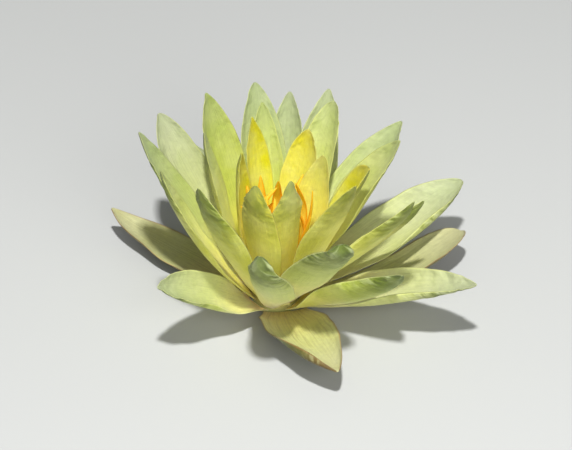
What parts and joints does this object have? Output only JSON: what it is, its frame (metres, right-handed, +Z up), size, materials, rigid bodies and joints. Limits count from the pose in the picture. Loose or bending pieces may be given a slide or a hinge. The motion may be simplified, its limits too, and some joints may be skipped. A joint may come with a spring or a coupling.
{
  "type": "water lily flower",
  "caption": "Open water lily bloom as picked, with sepals, layers of pointed cupped petals, a crown of flat stamens, a stigma and a short cut stem.",
  "frame": {"origin": "middle of the bounding box in plan, on the surface that the bloom rests on", "axes": "+Z up along the flower's axis, -Y towards the viewer's side, +X to the right of it"},
  "size_m": [0.1274, 0.1268, 0.0689],
  "materials": {
    "sepal": "soft satin leaf skin, cream-green with brown veins and edge",
    "petal_outer": "soft satin petal skin, pale greenish cream",
    "petal_middle": "soft satin petal skin, pale yellow",
    "petal_inner": "soft satin petal skin, yellow",
    "petal_heart": "soft satin petal skin, deep yellow",
    "stamen": "waxy orange-yellow stamen",
    "stigma": "moist yellow stigma",
    "stem": "smooth olive stem skin"
  },
  "bodies": {
    "root": {"sepal_front": "sepal", "sepal_right": "sepal", "sepal_back": "sepal", "sepal_left": "sepal", "petal_outer_01": "petal_outer", "petal_outer_02": "petal_outer", "petal_outer_03": "petal_outer", "petal_outer_04": "petal_outer", "petal_outer_05": "petal_outer", "petal_outer_06": "petal_outer", "petal_outer_07": "petal_outer", "petal_outer_08": "petal_outer", "petal_outer_09": "petal_outer", "petal_outer_10": "petal_outer", "petal_outer_11": "petal_outer", "petal_outer_12": "petal_outer", "petal_outer_13": "petal_outer", "petal_outer_14": "petal_outer", "petal_middle_1": "petal_middle", "petal_middle_2": "petal_middle", "petal_middle_3": "petal_middle", "petal_middle_4": "petal_middle", "petal_middle_5": "petal_middle", "petal_middle_6": "petal_middle", "petal_middle_7": "petal_middle", "petal_middle_8": "petal_middle", "petal_middle_9": "petal_middle", "petal_inner_1": "petal_inner", "petal_inner_2": "petal_inner", "petal_inner_3": "petal_inner", "petal_inner_4": "petal_inner", "petal_inner_5": "petal_inner", "petal_inner_6": "petal_inner", "petal_heart_1": "petal_heart", "petal_heart_2": "petal_heart", "stamens": "stamen", "stigma": "stigma", "receptacle_stem": "stem"}
  },
  "joints": []
}
